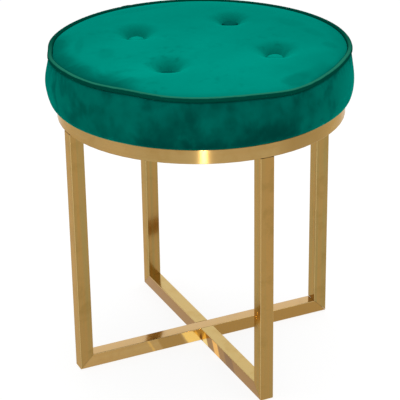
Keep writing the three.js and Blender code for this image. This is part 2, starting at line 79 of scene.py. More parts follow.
# Nodes of one material or world; most calls give the socket that their nodes end in
class Look:
    def __init__(self, owner, tone=None, **settings):
        if isinstance(owner, str):
            owner = bpy.data.materials.new(owner)
        owner.use_nodes = True
        self.owner, self.tree, self.tone = owner, owner.node_tree, tone
        self.shader = self.tree.nodes.get("Principled BSDF")
        self.place = self.add("TexCoord").outputs["Object"]
        for socket, value in settings.items():
            self.put(value, self.shader.inputs[socket.replace("_", " ")])

    def put(self, value, socket):
        if isinstance(value, bpy.types.NodeSocket):
            self.tree.links.new(value, socket)
        else:
            socket.default_value = (*value, 1) if socket.type == "RGBA" else value

    def add(self, kind, inputs=None, **settings):
        node = self.tree.nodes.new("ShaderNode" + kind)
        for name, value in settings.items():
            setattr(node, name, value)
        for name, value in (inputs or {}).items():
            self.put(value, node.inputs[name])
        return node

    def normal(self):
        return self.add("NewGeometry").outputs["Normal"]

    def axes(self, vector):
        return self.add("SeparateXYZ", {0: vector}).outputs

    def combined(self, x, y, z=0):
        return self.add("CombineXYZ", {0: x, 1: y, 2: z}).outputs[0]

    def math(self, operation, first, second=0, third=0):
        return self.add("Math", {0: first, 1: second, 2: third}, operation=operation).outputs[0]

    def times(self, first, second, plus=0):
        return self.math("MULTIPLY_ADD", first, second, plus)

    def vector(self, operation, first, second=(0, 0, 0)):
        node = self.add("VectorMath", {0: first, 1: second}, operation=operation)
        return node.outputs["Value" if operation in ("DOT_PRODUCT", "LENGTH") else "Vector"]

    # turn round the stool in radians, and distance from its middle
    def turn(self):
        parts = self.axes(self.place)
        return self.math("ARCTAN2", parts["Y"], parts["X"])

    def outward(self):
        return self.vector("LENGTH", self.vector("MULTIPLY", self.place, (1, 1, 0)))

    def nearTurn(self, turn, degrees):
        return self.math("COSINE", self.math("SUBTRACT", turn, radians(degrees)))

    def noise(self, scale, detail=3, roughness=0.55, distortion=0, place=None):
        place = place or self.place
        if not isinstance(scale, (int, float)):  # one scale for each axis
            place, scale = self.add("Mapping", {"Vector": place, "Scale": scale}).outputs["Vector"], 1
        inputs = {"Vector": place, "Scale": scale, "Detail": detail, "Roughness": roughness,
                  "Distortion": distortion}
        return self.add("TexNoise", inputs).outputs["Fac"]

    def cells(self, scale, randomness=1, output="Distance"):
        inputs = {"Vector": self.place, "Scale": scale, "Randomness": randomness}
        return self.add("TexVoronoi", inputs).outputs[output]

    def fromTo(self, value, low, high, toLow=0, toHigh=1, smooth=True):
        inputs = {"Value": value, "From Min": low, "From Max": high, "To Min": toLow, "To Max": toHigh}
        kind = "SMOOTHSTEP" if smooth else "LINEAR"
        return self.add("MapRange", inputs, interpolation_type=kind).outputs["Result"]

    def blend(self, share, first, second):
        return self.add("Mix", {0: share, 6: first, 7: second}, data_type="RGBA").outputs[2]

    # one more coat over the tone; what follows the share is what fromTo takes
    def paint(self, colour, share, *span):
        share = self.fromTo(share, *span) if span else share
        self.tone = self.blend(share, self.tone, colour)

    def bump(self, height, distance, **under):
        return self.add("Bump", {"Height": height, "Distance": distance, **under}).outputs["Normal"]

    # one level for the camera and in mirror-like surfaces, another for everything else
    def whereSeen(self, seenLevel, otherLevel):
        path = self.add("LightPath").outputs
        seen = self.math("MAXIMUM", path["Is Camera Ray"], path["Is Glossy Ray"])
        seen = self.math("MAXIMUM", seen, path["Is Transmission Ray"])
        return self.fromTo(seen, 0, 1, otherLevel, seenLevel, False)

    def done(self, normal, rough=None):
        self.put(self.tone, self.shader.inputs["Base Color"])
        self.put(normal, self.shader.inputs["Normal"])
        if rough is not None:
            self.put(rough, self.shader.inputs["Roughness"])
        return self.owner


# Camera and room

photoView = dict(
    azimuth=-25.044, elevation=24.433, roll=0.851,  # degrees
    distance=2.2677, aimHeight=0.2183, aimSideways=-0.00351,
    lens=145.96, sensor=36,
)


def setCamera():
    across, up = radians(photoView["azimuth"]), radians(photoView["elevation"])
    back = Vector((sin(across) * cos(up), -cos(across) * cos(up), sin(up)))
    right = Vector((cos(across), sin(across), 0))
    above = back.cross(right)
    roll = radians(photoView["roll"])
    cameraRight = right * cos(roll) - above * sin(roll)
    cameraUp = right * sin(roll) + above * cos(roll)
    aim = Vector((0, 0, photoView["aimHeight"])) + right * photoView["aimSideways"]
    data = bpy.data.cameras.new("photoCamera")
    data.sensor_width, data.lens = photoView["sensor"], photoView["lens"]
    scene.camera = linked("photoCamera", data)
    turn = Matrix((cameraRight, cameraUp, back)).transposed().to_4x4()
    scene.camera.matrix_world = Matrix.Translation(aim + back * photoView["distance"]) @ turn


room = dict(
    worldLevel=0.42, backgroundLevel=1,
    floorSize=14, floorColour=(0.86, 0.86, 0.86), floorOwnShare=0.25, floorLevel=1.17,
    # name: place, aim, width, height, watts
    lamps=dict(
        overheadLamp=((0.15, 0.25, 2.05), (0, 0, 0.4), 1.5, 1.5, 17.5),
        lowStripLamp=((-0.885, -2.015, 0.27), (0, 0, 0.366), 0.1, 0.45, 15),
        backPanel=((0.85, 1.82, 0.95), (0, 0, 0.02), 1.5, 0.9, 1.1),
        leftLamp=((-1.9, 0.1, 1), (0, 0, 0.35), 0.9, 1.2, 2.5),
        rightLamp=((1.8, -0.5, 1.1), (0, 0, 0.35), 0.9, 1.2, 2.5),
    ),
)


def setRoom():
    scene.view_settings.view_transform = "Standard"
    scene.world = bpy.data.worlds.new("studio")
    sky = Look(scene.world)
    background = sky.tree.nodes["Background"].inputs
    sky.put((1, 1, 1), background["Color"])
    sky.put(sky.whereSeen(room["backgroundLevel"], room["worldLevel"]), background["Strength"])

    floor = Look("paleFloor")
    floor.tree.nodes.clear()
    matte = floor.add("BsdfDiffuse", {"Color": room["floorColour"]})
    glow = floor.add("Emission", {"Color": (1, 1, 1), "Strength": room["floorLevel"]})
    share = floor.whereSeen(1 - room["floorOwnShare"], 0)
    mixed = floor.add("MixShader", {0: share, 1: matte.outputs[0], 2: glow.outputs[0]})
    floor.add("OutputMaterial", {"Surface": mixed.outputs[0]})
    half = room["floorSize"] / 2
    corners = [(-half, -half, 0), (half, -half, 0), (half, half, 0), (-half, half, 0)]
    plane = meshObject("floor", corners, [(0, 1, 2, 3)], (floor.owner,), smooth=False)

    for name, (place, aim, width, height, watts) in room["lamps"].items():
        data = bpy.data.lights.new(name, "AREA")
        data.shape, data.size, data.size_y, data.energy = "RECTANGLE", width, height, watts
        lamp = linked(name, data)
        lamp.location = place
        lamp.rotation_euler = (Vector(aim) - Vector(place)).to_track_quat("-Z", "Y").to_euler()


def meshObject(name, points, faces, materials=(), slots=None, smooth=True):
    mesh = bpy.data.meshes.new(name)
    mesh.from_pydata(points, [], faces)
    for material in materials:
        mesh.materials.append(material)
    if slots is not None:
        mesh.polygons.foreach_set("material_index", slots)
    mesh.polygons.foreach_set("use_smooth", [smooth] * len(mesh.polygons))
    mesh.update()
    return linked(name, mesh)


setCamera()
setRoom()
print("camera, floor and lamps set")


# Cushion: one closed cover, blown up by a cloth simulation, then cut at its seam into top and band

cushion = dict(
    seamRadius=0.1978, seamHeight=0.4445,  # edge of the top panel, beside the piping
    crownRise=0.01, crownPower=6,
    bandTopRadius=0.2026, bandTopHeight=0.4407,
    bulgeRadius=0.2086, bulgeHeight=0.4065, bandPower=2.5, drawInPower=1.4,
    footRadius=0.1969, footHeight=0.3755, hemRadius=0.1564,
    tuftDepths=(0.013, 0.017, 0.019, 0.0175), tuftPower=4, tuftFloor=0.0104, tuftReach=0.034,
    # gentler slopes on the side the cover was pulled from
    tuftFrontPowers=(2.35, 2, 2.35, 1.9), tuftFront=(-0.42, -0.91),
    buttonAngles=(40.6, 128.9, 220.2, 314.4), buttonRadii=(0.1014, 0.097, 0.1008, 0.1053),
    # foam inside the cover: radius and height of its shoulder, heights of its side, radii underneath
    foamShoulder=((0.1915, 0.4378), (0.1895, 0.433)), foamInset=0.0022,
    foamHeights=(0.428, 0.406, 0.393, 0.3888), foamUnder=(0.15, 0.08),
    clothThickness=0.001,
    lean=(-0.0015, 0.0008), leanStarts=0.115,  # the cover was pulled on a little to one side
    # the seam runs a little high and low: degrees round, reach in degrees, rise
    seamWaves=((-172, 22, 0.0031), (-142, 13, 0.0037), (-77.5, 14, -0.0045), (-45, 12, 0.0026),
                  (38, 34, -0.001)),
    waveStarts=0.402,
    seamPulls=((158, 8, -0.0026),),  # and a little in: degrees round, reach in degrees, outwards
    # the side is a little flat: degrees round, reach, height, reach up, lift
    dents=((186, 17, 0.401, 0.011, -0.0022), (177, 15, 0.388, 0.01, -0.003)),
    cells=48, finalCells=160, rimCrowding=1.4, bandRows=9, rowCrowding=1.25, hemRows=(0.12, 0.5, 1),
    topOnlyAbove=0.4385,  # the pad's points over this height are cover, those under it are foam
    frames=20, startLower=0.0015, mostMoved=0.003, bandMostMoved=0.0015, smoothings=6,
    cloth=dict(quality=5, mass=0.3, tension_stiffness=20, compression_stiffness=20, shear_stiffness=12,
               bending_stiffness=6, use_pressure=True, uniform_pressure_force=4),
)
buttonPlaces = [polar(radius, radians(angle))
                for angle, radius in zip(cushion["buttonAngles"], cushion["buttonRadii"])]
footHeight, bulgeHeight, bandTop = cushion["footHeight"], cushion["bulgeHeight"], cushion["bandTopHeight"]
seamRadius, tuftFloor = cushion["seamRadius"], cushion["tuftFloor"]


def nearestButton(x, y):
    return min(hypot(x - bx, y - by) for bx, by in buttonPlaces)


def topHeight(x, y):
    outward = min(hypot(x, y) / seamRadius, 1)
    crown = cushion["crownRise"] * sqrt(1 - outward ** cushion["crownPower"])
    deepest = 0
    for (bx, by), depth, frontPower in zip(buttonPlaces, cushion["tuftDepths"], cushion["tuftFrontPowers"]):
        apart = hypot(x - bx, y - by)
        share = clamped((apart - tuftFloor) / cushion["tuftReach"])
        if share < 1:
            frontX, frontY = cushion["tuftFront"]
            front = clamped((((x - bx) * frontX + (y - by) * frontY) / max(apart, 1e-6) + 0.55) / 1.45)
            power = cushion["tuftPower"] + (frontPower - cushion["tuftPower"]) * front
            deepest = max(deepest, depth * (1 - share) ** power)
    return cushion["seamHeight"] + crown - deepest


def bandRadius(height):
    full = cushion["bulgeRadius"]
    if height < bulgeHeight:
        below = 1 - (height - footHeight) / (bulgeHeight - footHeight)
        roundness = (1 - below ** cushion["bandPower"]) ** (1 / cushion["bandPower"])
        return cushion["footRadius"] + (full - cushion["footRadius"]) * roundness
    above = (height - bulgeHeight) / (bandTop - bulgeHeight)
    return full - (full - cushion["bandTopRadius"]) * above ** cushion["drawInPower"]


def alongRim(turn, bumps):
    return sum(most * exp(-(remainder(turn - radians(degrees), fullTurn) / radians(reach)) ** 2)
               for degrees, reach, most in bumps)


def leaned(co):
    # full at the rim and below it, nothing at the buttons
    starts, waves = cushion["leanStarts"], cushion["waveStarts"]
    share = eased(clamped((hypot(co[0], co[1]) - starts) / (seamRadius - starts)))
    height = share * eased(clamped((co[2] - waves) / (bandTop - waves)))
    turn = atan2(co[1], co[0])
    pullX, pullY = polar(alongRim(turn, cushion["seamPulls"]) * height, turn)
    return Vector((co[0] + cushion["lean"][0] * share + pullX, co[1] + cushion["lean"][1] * share + pullY,
                   co[2] + alongRim(turn, cushion["seamWaves"]) * height))


# Square grid drawn out to a disc, so that the weave of cells has no pole in the middle
def discPoint(i, j, cells):
    a, b = 2 * i / cells - 1, 2 * j / cells - 1
    if a == 0 and b == 0:
        return 0, 0
    if abs(a) > abs(b):
        r, turn = a, pi / 4 * b / a
    else:
        r, turn = b, pi / 2 - pi / 4 * a / b
    return polar(copysign(1 - (1 - min(abs(r), 1)) ** cushion["rimCrowding"], r), turn)


def discGrid(radius, cells, heightAt):
    points = [scaled(discPoint(i, j, cells), radius) for j in range(cells + 1) for i in range(cells + 1)]
    side = cells + 1
    faces = [(j * side + i, j * side + i + 1, (j + 1) * side + i + 1, (j + 1) * side + i)
             for j in range(cells) for i in range(cells)]
    last = side * cells
    rim = [*range(cells), *range(cells, last, side), *range(last + cells, last, -1), *range(last, 0, -side)]
    return [(x, y, heightAt(x, y)) for x, y in points], faces, rim


# Faces between two rings of points
def between(first, second):
    size = len(first)
    return [(first[i], first[(i + 1) % size], second[(i + 1) % size], second[i]) for i in range(size)]


# One more ring of points, sewn to the one before it
def addRow(points, faces, previous, angles, radius, height):
    current = list(range(len(points), len(points) + len(angles)))
    points += [(*polar(radius, angle), height) for angle in angles]
    faces += between(current, previous)
    return current


# Skin over rows of points. Each row is a closed ring; the last joins the first, or the ends are
# closed with flat caps or drawn together at two poles
def skinned(rows, loop=False, poles=()):
    size, end = len(rows[0]), len(rows) * len(rows[0])
    rings = [range(start, start + size) for start in range(0, end, size)]
    faces = []
    for first, second in zip(rings, rings[1:] + rings[:1] * loop):
        faces += between(first, second)
    if poles:
        faces += [(end, (i + 1) % size, i) for i in range(size)]
        faces += [(rings[-1][i], rings[-1][(i + 1) % size], end + 1) for i in range(size)]
    elif not loop:
        faces += [tuple(rings[0])[::-1], tuple(rings[-1])]
    return [point for row in rows for point in row] + list(poles), faces


def closedCover():
    def started(x, y):
        lower = cushion["startLower"] * sqrt(1 - min(hypot(x, y) / seamRadius, 1) ** 6)
        return topHeight(x, y) - lower * clamped((nearestButton(x, y) - tuftFloor) / 0.03)

    points, faces, rim = discGrid(seamRadius, cushion["cells"], started)
    cover = {"points": points, "faces": faces, "rim": rim, "rows": [], "hem": [],
             "topCount": len(points), "topFaces": len(faces)}
    angles = [atan2(points[i][1], points[i][0]) for i in rim]
    previous = rim
    for row in range(cushion["bandRows"] + 1):
        left = (1 - row / cushion["bandRows"]) ** cushion["rowCrowding"]
        height = bandTop - (bandTop - footHeight) * (1 - left)
        previous = addRow(points, faces, previous, angles, bandRadius(height), height)
        cover["rows"].append(previous)
    for share in cushion["hemRows"]:
        radius = cushion["footRadius"] + (cushion["hemRadius"] - cushion["footRadius"]) * share
        previous = addRow(points, faces, previous, angles, radius, footHeight)
        cover["hem"].append(previous)
    cover["hemEnd"] = len(faces)
    points.append((0, 0, footHeight))
    faces += [(previous[i - 1], previous[i], len(points) - 1) for i in range(len(rim))]
    return cover


def blownUp(cover):
    # Cloth held at seam, buttons, foot and hem; what moves further than the cap is held back softly
    start = np.array(cover["points"])
    obj = meshObject("coverAtWork", cover["points"], cover["faces"])
    held = set(cover["rim"]) | set(cover["rows"][0]) | set(cover["rows"][-1])
    held |= {i for row in cover["hem"] for i in row} | {len(start) - 1}
    held |= {i for i, (x, y, z) in enumerate(cover["points"][:cover["topCount"]])
             if nearestButton(x, y) < tuftFloor + 0.001}
    obj.vertex_groups.new(name="held").add(sorted(held), 1, "REPLACE")
    cloth = obj.modifiers.new("cloth", "CLOTH")
    for name, value in cushion["cloth"].items():
        setattr(cloth.settings, name, value)
    cloth.settings.vertex_group_mass = "held"
    cloth.settings.effector_weights.gravity = 0
    cloth.collision_settings.use_collision = False
    cloth.point_cache.frame_end = cushion["frames"]
    for number in range(1, cushion["frames"] + 1):
        scene.frame_set(number)
    found = np.empty(len(start) * 3)
    evaluated(obj).data.vertices.foreach_get("co", found)
    moved = found.reshape(-1, 3) - start
    sides = np.array([edge.vertices[:] for edge in obj.data.edges])
    loose = np.array([i not in held for i in range(len(start))])
    joined = np.bincount(sides.ravel(), minlength=len(start))[:, None]
    for _ in range(cushion["smoothings"]):
        around = np.zeros_like(moved)
        np.add.at(around, sides[:, 0], moved[sides[:, 1]])
        np.add.at(around, sides[:, 1], moved[sides[:, 0]])
        moved = np.where(loose[:, None], (moved + around / joined) / 2, 0)
    bpy.data.objects.remove(obj)
    scene.frame_set(1)
    most = np.full(len(start), cushion["bandMostMoved"])
    most[:cover["topCount"]] = cushion["mostMoved"]
    length = np.linalg.norm(moved, axis=1)
    print("cover blown up: most", round(length.max() * 1000, 2), "mm, mean",
          round(length[:cover["topCount"]].mean() * 1000, 2), "mm on top")
    factor = np.where(length > 1e-9, most * np.tanh(length / most) / np.maximum(length, 1e-9), 0)
    return start + moved * factor[:, None]


# Smooth weights that carry values on a coarse row of points over to a fine one
def rowWeights(fine, coarse):
    weights = np.zeros((fine + 1, coarse + 1))
    for k in range(fine + 1):
        base = min(k * coarse // fine, coarse - 1)
        f = k * coarse / fine - base
        parts = (-0.5 * f + f ** 2 - 0.5 * f ** 3, 1 - 2.5 * f ** 2 + 1.5 * f ** 3,
                 0.5 * f + 2 * f ** 2 - 1.5 * f ** 3, -0.5 * f ** 2 + 0.5 * f ** 3)
        for offset, part in zip((-1, 0, 1, 2), parts):
            weights[k, min(max(base + offset, 0), coarse)] += part
    return weights


# Velvet

velvet = dict(
    colour=(0, 0.246, 0.186), liftedColour=(0, 0.272, 0.206), shadedColour=(0, 0.075, 0.054),
    # the band's velvet is a darker copy of the top's velvet, painted shade
    bandPaintedShadeColour=(0, 0.078, 0.06), bandBrushedColour=(0, 0.112, 0.086),
    bandSheenAndMottleColour=(0, 0.165, 0.122), bandPaintedLightColour=(0, 0.15, 0.116),
    bandShadeAndMottleColour=(0, 0.038, 0.03),
    # the piping's velvet is a darker copy of the top's velvet, painted shade, with a painted highlight on
    # its crest
    pipingPaintedShadeColour=(0, 0.06, 0.04), pipingHighlightColour=(0.018, 0.205, 0.13), pipingHighlightSide=-112,
    # the buttons' velvet is painted lighter than the top's, painted light against the shade in their
    # dimples
    buttonPaintedLightColour=(0, 0.285, 0.22), darkButtonColour=(0, 0.105, 0.084),
    roughness=0.85, sheenTint=(0, 1, 0.77), sheenRoughness=0.45,
    sheen=dict(top=0.55, band=0.24, button=0.8, darkButton=0.1, piping=0.04),
    pileScale=1900, pileDepth=0.00012, crushScale=150, crushDepth=0.0002,
    speckleScale=95, speckleCloudScale=13, speckleShare=0.34,  # fine dark flecks, in clusters
    # painted sheen on the band at both sides of the front: degrees round, reach, strength
    bandPaintedSheens=((190, 27, 0.6), (-44, 32, 0.95)),
    # painted shade along the rim, in places also nap pressed the other way: degrees round, reach in
    # degrees, width, strength
    rimShades=((202, 21, 0.036, 0.85), (166, 30, 0.031, 1), (-62, 10, 0.024, 0.28),
               (-22, 28, 0.034, 0.38), (-22, 62, 0.11, 0.2), (158, 58, 0.12, 0.24)),
    # nap pressed the other way in patches: middle x, middle y, reach across, reach along, turn, strength
    smudges=(
        (-0.15, 0.058, 0.006, 0.042, -25, 0.24),
        (-0.135, 0.003, 0.012, 0.022, -25, 0.2),
        (0.055, -0.172, 0.011, 0.028, -68, 0.4),
        (0.146, -0.095, 0.009, 0.013, 0, 0.34),
        (0.15, -0.04, 0.01, 0.026, 10, 0.22),
        (0.14, 0.01, 0.014, 0.03, 25, 0.22),
        (-0.02, 0.165, 0.12, 0.014, 0, 0.22),
    ),
    # painted shade: the top is painted a little darker towards the back
    darkerTowards=(0.55, 0.83, 0), darkerFrom=-0.13, darkerTo=0.17, darkerShare=0.46,
)


def topTone(look):
    shaded = velvet["shadedColour"]
    look.paint(velvet["liftedColour"], look.noise((9, 12, 9), 3, 0.5, 0.3), 0.35, 0.65)
    flecks = look.noise(velvet["speckleScale"], 4, 0.65)
    clusters = look.noise(velvet["speckleCloudScale"], 2, 0.5)
    share = look.fromTo(clusters, 0.46, 0.68, 0, velvet["speckleShare"])
    look.paint(shaded, look.times(look.fromTo(flecks, 0.48, 0.72), share))
    ragged = look.fromTo(look.noise(26, 4, 0.6, 0.5), 0.25, 0.75, -0.45, 0.45, False)
    # painted shade, darker towards the back
    ahead = look.vector("DOT_PRODUCT", look.place, velvet["darkerTowards"])
    look.paint(shaded, ahead, velvet["darkerFrom"], velvet["darkerTo"], 0, velvet["darkerShare"])
    turn = look.turn()
    outward = look.times(ragged, 0.018, look.outward())
    # painted shade along the rim, in places also nap pressed the other way
    for degrees, reach, width, strength in velvet["rimShades"]:
        end, middle = cos(radians(reach)), cos(radians(reach * 0.45))
        near = look.times(ragged, (middle - end) * 0.7, look.nearTurn(turn, degrees))
        inward = look.fromTo(outward, seamRadius - width, seamRadius - width * 0.15, 0, strength)
        look.paint(shaded, look.times(look.fromTo(near, end, middle), inward))
    for x, y, across, along, degrees, strength in velvet["smudges"]:
        inputs = {"Vector": look.place, "Location": (x, y, 0.45),
                  "Scale": (across, along, 1), "Rotation": (0, 0, radians(degrees))}
        moved = look.add("Mapping", inputs, vector_type="TEXTURE").outputs[0]
        away = look.math("ADD", look.vector("LENGTH", moved), ragged)
        look.paint(shaded, away, 0.55, 1.25, strength, 0)


def bandTone(look):
    lifted, deepest = velvet["bandSheenAndMottleColour"], velvet["bandShadeAndMottleColour"]
    turn, height = look.turn(), look.axes(look.place)["Z"]
    wrapped = look.combined(look.times(turn, cushion["bulgeRadius"]), height)
    broad = look.noise((17, 13, 1), 4, 0.55, 0.4, wrapped)
    blotch = look.noise((60, 42, 1), 4, 0.6, 0.3, wrapped)
    look.paint(velvet["bandBrushedColour"], look.times(blotch, 0.35, look.times(broad, 0.65)), 0.38, 0.62)
    # painted light above the bulge and painted shade below it
    ragged = look.times(blotch, 0.016, height)
    look.paint(velvet["bandPaintedLightColour"], ragged, bulgeHeight + 0.004, bandTop + 0.004, 0, 0.45)
    look.paint(deepest, ragged, footHeight + 0.002, bulgeHeight + 0.016, 1, 0)
    # painted sheen at both sides of the front
    for degrees, reach, strength in velvet["bandPaintedSheens"]:
        edge = look.times(broad, 0.22, look.nearTurn(turn, degrees))
        look.paint(lifted, edge, cos(radians(reach)) + 0.02, cos(radians(reach * 0.6)) + 0.16, 0, strength)
    # blotches where hands have brushed it either way
    patches = look.noise((24, 26, 1), 2.5, 0.55, 0.3, wrapped)
    strokes = look.noise((62, 44, 1), 3, 0.5, 0.3, wrapped)
    mottle = look.times(strokes, 0.4, look.times(patches, 0.6))
    look.paint(deepest, mottle, 0.46, 0.68, 0, 0.62)
    look.paint(lifted, mottle, 0.32, 0.5, 0.45, 0)


def pipingTone(look):
    # painted highlight on the crest of the cord, on the front side only
    side = look.fromTo(look.nearTurn(look.turn(), velvet["pipingHighlightSide"]), -0.35, 0.55)
    crest = look.times(look.noise(60, 3, 0.6), 0.3, look.axes(look.normal())["Z"])
    look.paint(velvet["pipingHighlightColour"], look.times(look.fromTo(crest, 0.78, 1.02), side))


def buttonTone(look):
    colour = look.tone
    look.tone = scaled(colour, 0.85)
    look.paint(colour, look.noise(90, 3, 0.6), 0.3, 0.7)
    # painted shade down the gathered rim
    look.paint(scaled(colour, 0.38), look.axes(look.normal())["Z"], 0.62, 0.94, 1, 0)


def velvetMaterial(part, colour, paintOver):
    look = Look(part + "Velvet", velvet[colour], Roughness=velvet["roughness"], Specular_IOR_Level=0,
                Sheen_Weight=velvet["sheen"][part], Sheen_Roughness=velvet["sheenRoughness"],
                Sheen_Tint=velvet["sheenTint"])
    paintOver(look)
    crush = look.noise(velvet["crushScale"], 3, 0.6)
    pile = look.noise(velvet["pileScale"], 2, 0.6)
    return look.done(look.bump(pile, velvet["pileDepth"], Normal=look.bump(crush, velvet["crushDepth"])))


topVelvet = velvetMaterial("top", "colour", topTone)
bandVelvet = velvetMaterial("band", "bandPaintedShadeColour", bandTone)
pipingVelvet = velvetMaterial("piping", "pipingPaintedShadeColour", pipingTone)
buttonVelvet = velvetMaterial("button", "buttonPaintedLightColour", buttonTone)
darkButtonVelvet = velvetMaterial("darkButton", "darkButtonColour", buttonTone)

foamBlock = dict(colour=(0.8, 0.73, 0.5), cellScale=420, cellDepth=0.0006)


def foamMaterial():
    look = Look("openFoam", scaled(foamBlock["colour"], 0.72), Roughness=0.95)
    cells = look.cells(foamBlock["cellScale"])
    look.paint(foamBlock["colour"], cells, 0, 0.5)
    return look.done(look.bump(cells, foamBlock["cellDepth"]))


def applyModifiers(obj, levels=0):
    # with a finer mesh first, if levels are given
    if levels:
        modifier = obj.modifiers.new("finer", "SUBSURF")
        modifier.levels = modifier.render_levels = levels
        modifier.boundary_smooth = "PRESERVE_CORNERS"
    mesh, old = bpy.data.meshes.new_from_object(evaluated(obj)), obj.data
    obj.modifiers.clear()
    obj.data = mesh
    bpy.data.meshes.remove(old)


def thickened(obj, thickness):
    shell = obj.modifiers.new("clothThickness", "SOLIDIFY")
    shell.thickness, shell.offset = thickness, -1
    applyModifiers(obj)


def movePoints(obj, shift):
    # shift gives each point's new place from its old one and its normal
    mesh = obj.data
    places = [shift(v.co, v.normal) for v in mesh.vertices]
    mesh.vertices.foreach_set("co", [c for place in places for c in place])
    mesh.update()


tuckPleats = dict(count=9, height=0.00035, reach=0.01, furthest=0.06, rimWidth=0.02, seamHeight=0.00014,
                  seamPitch=0.012, unevenness=0.0007)


def tucked(co, normal):
    # short pleats that run out from each button, and fine puckers beside the piping
    x, y, z = co
    lift = 0
    for index, (bx, by) in enumerate(buttonPlaces):
        away = hypot(x - bx, y - by)
        if tuftFloor * 0.8 < away < tuckPleats["furthest"]:
            turn = atan2(y - by, x - bx)
            fold = cos(turn * tuckPleats["count"] + 1.7 * index + 0.9 * sin(2 * turn + index))
            start = min((away - tuftFloor * 0.8) / 0.006, 1)
            lift += tuckPleats["height"] * fold * start * exp(-(away - 0.0112) / tuckPleats["reach"])
    outward, inside = hypot(x, y), seamRadius - tuckPleats["rimWidth"]
    if outward > inside:
        turn = atan2(y, x)
        share = (outward - inside) / tuckPleats["rimWidth"]
        wave = sin(turn * seamRadius / tuckPleats["seamPitch"] * fullTurn + 3 * noise((turn * 6, 0, 0)))
        lift += (tuckPleats["seamHeight"] * wave * share * share * (1 - share ** 6)
                 * (0.6 + noise((turn * 9, 3.1, 0))))
    lift += tuckPleats["unevenness"] * noise((x * 14, y * 14, 2)) * clamped((seamRadius - outward) / 0.03)
    return co + normal * lift


def makeSeatPad(cover, places):
    # what the simulation moved is laid on a finer grid of the same form
    coarse, fine = cushion["cells"], cushion["finalCells"]
    top = places[:cover["topCount"]].copy()
    for p in top:
        p[2] -= topHeight(p[0], p[1])
    flat = np.array([(*discPoint(i, j, coarse), 0) for j in range(coarse + 1) for i in range(coarse + 1)])
    swelled = (top - flat * seamRadius).reshape(coarse + 1, coarse + 1, 3)
    weights = rowWeights(fine, coarse)
    swelled = np.einsum("jb,bac,ia->jic", weights, swelled, weights).reshape(-1, 3)
    points, faces, rim = discGrid(seamRadius, fine, topHeight)
    held = set(rim)
    points = [p if i in held else tuple(np.add(p, swelled[i])) for i, p in enumerate(points)]
    topFaces = len(faces)
    angles = [atan2(points[i][1], points[i][0]) for i in rim]
    inset, heights = cushion["foamInset"], cushion["foamHeights"]
    walls = [*cushion["foamShoulder"], *((bandRadius(height) - inset, height) for height in heights),
             *((radius, heights[-1]) for radius in cushion["foamUnder"])]
    previous = rim
    for radius, height in walls:
        previous = addRow(points, faces, previous, angles, radius, height)
    faces.append(tuple(previous[::-1]))
    slots = [0] * topFaces + [1] * (len(faces) - topFaces)
    pad = meshObject("seat_pad", points, faces, (topVelvet, foamMaterial()), slots)

    def settled(co, normal):
        if co.z > cushion["topOnlyAbove"] and normal.z > 0.02:
            return leaned(tucked(co, normal))
        turn = atan2(co.y, co.x)
        return leaned(co + Vector((*polar(dented(turn, co.z), turn), 0)))

    movePoints(pad, settled)
    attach(pad, "root")
    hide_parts("cover_top", "foam_core")


bandDetail = dict(rippleHeight=0.0009, puckerHeight=0.0005, puckerPitch=0.01, seamAngle=90,
                  seamDepth=0.0011, seamHalfWidth=0.003,
                  puckersAbove=0.72, puckersBelow=0.16)  # shares of the band's height


# where the side is a little flat, foam and cloth alike
def dented(turn, height):
    rise = (height - footHeight) / (bandTop - footHeight)
    lift = 0
    for degrees, reach, middle, up, most in cushion["dents"]:
        off = remainder(turn - radians(degrees), fullTurn) / radians(reach)
        lift += most * exp(-off * off - ((height - middle) / up) ** 2) * clamped(rise / 0.1)
    return lift


def rippled(co, normal):
    turn, outward = atan2(co.y, co.x), hypot(co.x, co.y)
    if co.z < footHeight + 0.0002 or normal.z < -0.8:
        return co
    rise = (co.z - footHeight) / (bandTop - footHeight)
    lift = bandDetail["rippleHeight"] * noise((turn * 7, co.z * 16, 5)) * sin(pi * rise)
    pucker = bandDetail["puckerHeight"] * sin(turn * outward / bandDetail["puckerPitch"] * fullTurn
                                              + 4 * noise((turn * 8, 1, 0)))
    upper, lower = bandDetail["puckersAbove"], bandDetail["puckersBelow"]
    lift += pucker * max(rise - upper, 0) / (1 - upper) * (0.6 + noise((turn * 11, 0, 4)))
    lift += pucker * max(lower - rise, 0) / lower * 0.5
    off = remainder(turn - radians(bandDetail["seamAngle"]), fullTurn) * outward
    off /= bandDetail["seamHalfWidth"]
    lift += dented(turn, co.z) - bandDetail["seamDepth"] * exp(-off * off)
    return co + Vector((*polar(lift, turn), 0))


def makeSideBand(cover, places):
    first, last = cover["rows"][0][0], cover["hem"][-1][-1]
    points = [tuple(p) for p in places[first:last + 1]]
    outer = cover["faces"][cover["topFaces"] + len(cover["rim"]):cover["hemEnd"]]
    faces = [tuple(i - first for i in face) for face in outer]
    band = meshObject("side_band", points, faces, (bandVelvet,))
    applyModifiers(band, 2)
    movePoints(band, lambda co, normal: leaned(rippled(co, normal)))
    thickened(band, cushion["clothThickness"])
    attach(band, "root")
    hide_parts("cover_side")


cover = closedCover()
places = blownUp(cover)
makeSeatPad(cover, places)
makeSideBand(cover, places)
print("seat pad and side band made")


# Piping: velvet cut on the bias and sewn round a cord, with its flange caught in the seam

pipingCord = dict(
    radius=0.2016, height=0.4445, cordRadius=0.0035,
    flangeStart=0.0072, flangeEnd=0.011, flangeThickness=0.0008,
    flangeAngle=40,  # degrees below level
    stepsRound=420, stepsAcross=18,
    puckerDepth=0.00016, puckerPitch=0.0075, puckerSlant=1.3,
    jointAngle=96, jointLift=0.0005, jointHalfLength=0.007, slipDepth=0.0004,
)


